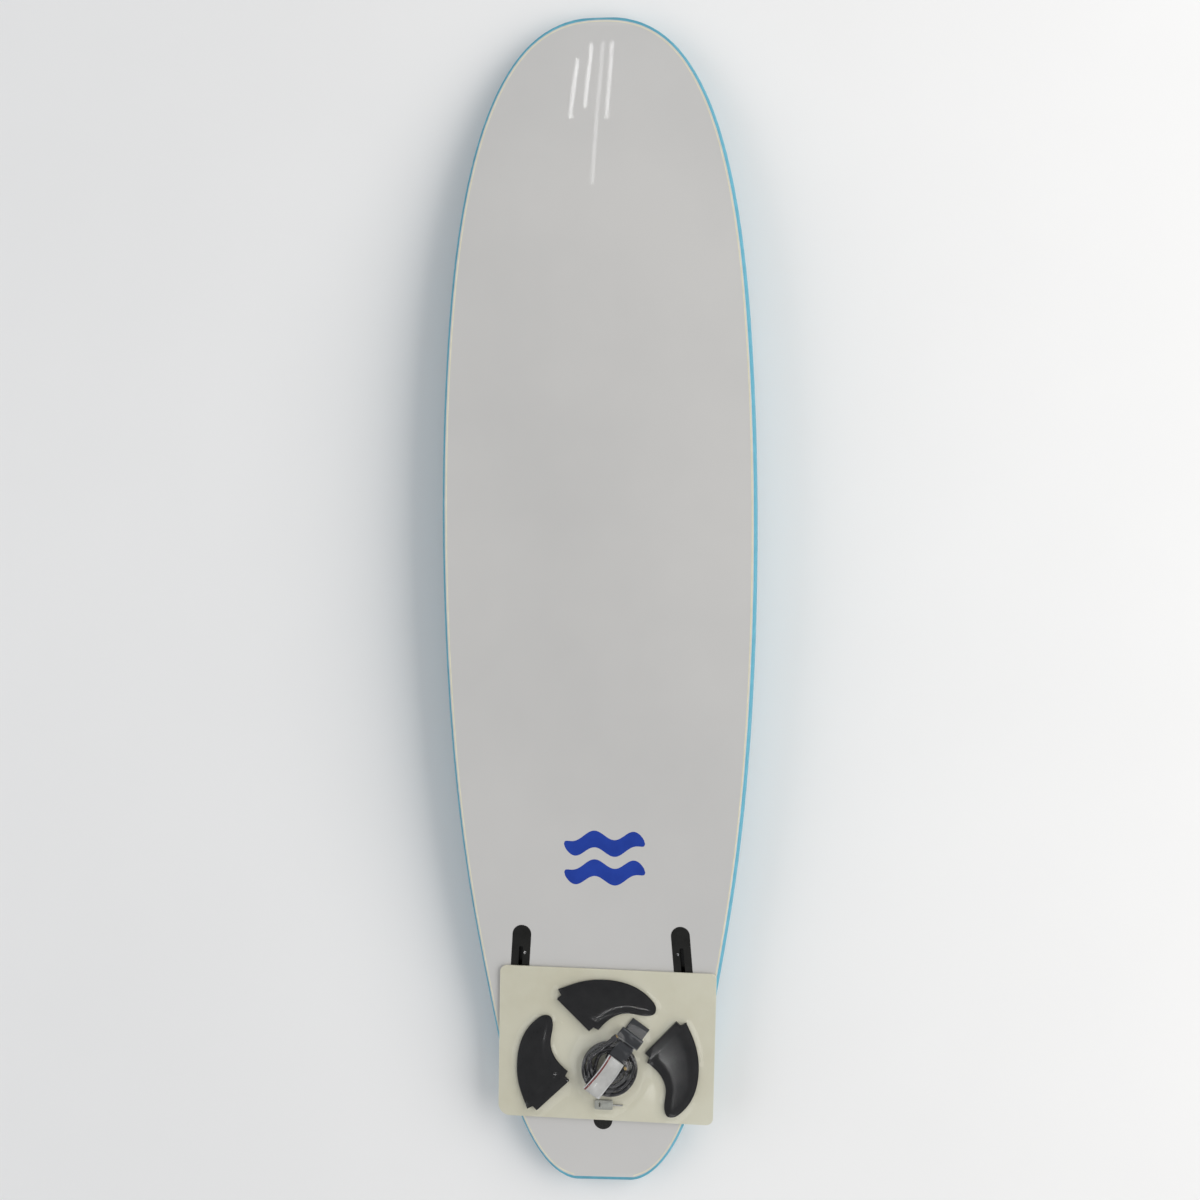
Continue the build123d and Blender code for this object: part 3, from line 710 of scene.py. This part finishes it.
lower = pad("cuff_tab_lower", 58.5, 101, -16.4, 21.5, 0.35, 5.8)
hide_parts("cuff_pad_lower")
upper = pad("cuff_tab_upper", 58, 80, -19, 28, 9.6, 17)
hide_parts("cuff_pad_upper")
for name, u in (("cuff_binding_near", 60.4), ("cuff_binding_far", 78.2)):
    trim = strap(name, [(u - 0.6, 17.2), (u, 17.25), (u + 0.6, 17.2)], -17, 26, 0.6, binding_mat)

# ------------------------------------------------------------------------------------------ cord's looks
cord.data.materials.append(cord_mat)
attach(cord, "leash")
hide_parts("leash_coil")

# ------------------------------------------------------------------------------------------ film
# The film is pulled down over the contents: each point sinks to its neighbours' mean and a little more, and
# stops where it touches. Heights are in mm over the card.
FILM_CELL, FILM_EDGE_HEIGHT, FILM_CLEARANCE = 2.5, 0.5, 0.7
SUCTION, ROUNDS = 0.055, 1500
LOOK_FROM, LOOK_DEPTH = 60.0, 59.8
half_x, half_y = 140.2, 195.2
nx, ny = int(2 * half_x / FILM_CELL), int(2 * half_y / FILM_CELL)
xs = np.linspace(-half_x, half_x, nx + 1)
ys = np.linspace(-half_y, half_y, ny + 1)
bpy.context.view_layer.update()
COVERED_PIECES = (
    "fin_top_blade",
    "fin_left_blade",
    "fin_right_blade",
    "leash_cord",
    "cuff_strap",
    "saver_strap",
    "saver_edge_left",
    "saver_line",
    "saver_edge_right",
    "cuff_tab_lower",
    "cuff_tab_upper",
    "cuff_binding_near",
    "cuff_binding_far",
)
COVERED_NODES = ["fin_key_grip", "fin_key_bit"]
COVERED_NODES += [f"leash_{part}_{end}" for end in ("cuff", "saver") for part in ("horn", "swivel", "mount", "pin")]
contents = tree_of(*[bpy.data.objects[n] for n in COVERED_PIECES], *[nodes[n] for n in COVERED_NODES])
down = -Vector(CARD_TOP.col[2][:3])
solid = np.full((nx + 1, ny + 1), FILM_EDGE_HEIGHT)
for i, x in enumerate(xs):
    for j, y in enumerate(ys):
        start = CARD_TOP @ Vector((x * MM, y * MM, LOOK_FROM * MM))
        hit = contents.ray_cast(start, down, LOOK_DEPTH * MM)
        if hit[0] is not None:
            solid[i, j] = LOOK_FROM - hit[3] / MM + FILM_CLEARANCE
wide = solid.copy()
for di in (-1, 0, 1):
    for dj in (-1, 0, 1):
        wide = np.maximum(wide, np.roll(np.roll(solid, di, 0), dj, 1))
height = wide.copy()
for _ in range(ROUNDS):
    mean = height.copy()
    beside = height[2:, 1:-1] + height[:-2, 1:-1] + height[1:-1, 2:] + height[1:-1, :-2]
    mean[1:-1, 1:-1] = beside / 4
    height = np.maximum(wide, mean - SUCTION)
corner_radius = {(1, 1): 12.0, (1, -1): 10.0, (-1, -1): 13.0, (-1, 1): 22.0}
verts, faces = [], []
for i, x in enumerate(xs):
    for j, y in enumerate(ys):
        r = corner_radius[(1 if x > 0 else -1, 1 if y > 0 else -1)]
        dx, dy = abs(x) - (half_x - r), abs(y) - (half_y - r)
        px, py = x, y
        if dx > 0 and dy > 0:
            pull = max(dx, dy) / math.hypot(dx, dy)
            px = math.copysign(half_x - r + dx * pull, x)
            py = math.copysign(half_y - r + dy * pull, y)
        verts.append(CARD_TOP @ Vector((px * MM, py * MM, height[i, j] * MM)))
for i in range(nx):
    for j in range(ny):
        k = i * (ny + 1) + j
        faces.append((k, k + ny + 1, k + ny + 2, k + 1))
film = piece("pack_wrap", verts, faces, film_mat)
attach(film, "film")
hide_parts("pack_film")


# ------------------------------------------------------------------------------------------ stage
def lamp(name, place, target, size, power, color=(1, 1, 1)):
    """A rectangular lamp at place facing target, its first side along the board where it can be."""
    data = bpy.data.lights.new(name, "AREA")
    data.shape = "RECTANGLE"
    data.size, data.size_y = size
    data.energy = power
    data.color = color
    o = bpy.data.objects.new(name, data)
    away = (Vector(place) - Vector(target)).normalized()
    along = (Vector((1, 0, 0)) - away * away.x).normalized()
    o.matrix_world = axes(place, along, away.cross(along), away)
    bpy.context.scene.collection.objects.link(o)


lamp("key", (0.3, -3.7, 2.9), (0, 0, 0), (6.4, 3.8), 205, (1.0, 0.985, 0.96))
lamp("fill", (0.0, 3.8, 2.7), (0, 0, 0), (6.0, 3.6), 78, (0.95, 0.975, 1.0))
lamp("nose_side", (3.9, -1.0, 1.6), (0.5, 0, 0), (1.8, 3.0), 20)
lamp("tail_side", (-3.9, -0.8, 1.6), (-0.6, 0, 0), (1.8, 3.0), 20)
# Small lamps overhead: their mirror images are the streaks on the slick's nose and the glint on the film.
OVERHEAD = 3.4
STRIPS = ((3.35, 0.43, 0.5), (3.45, 0.375, 0.5), (3.1, 0.325, 1.1), (3.4, 0.285, 0.6))
for number, (x, y, long) in enumerate(STRIPS):
    lamp(f"strip_{number}", (x, y, OVERHEAD), (0.9, 0.0, 0.05), (long, 0.014), 0.45)
lamp("glint", (-2.6, 0.13, OVERHEAD), (-0.87, -0.07, 0.1), (0.06, 0.3), 0.9)

ground_mat = make("ground", (0.86, 0.86, 0.86), (0.88, 0.88, 0.88), 1.5, (0.8, 0.9))
FAR = 30
ground_corners = [(-FAR, -FAR, 0), (FAR, -FAR, 0), (FAR, FAR, 0), (-FAR, FAR, 0)]
ground = piece("ground", ground_corners, [(0, 1, 2, 3)], ground_mat, False)
ground.location.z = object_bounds()[0][2] - 0.0002
world = bpy.data.worlds.new("world")
bpy.context.scene.world = world
world.use_nodes = True
sky = world.node_tree.nodes["Background"]
sky.inputs["Color"].default_value = (0.97, 0.98, 1.0, 1)
sky.inputs["Strength"].default_value = 0.30
bpy.context.scene.view_settings.view_transform = "Standard"
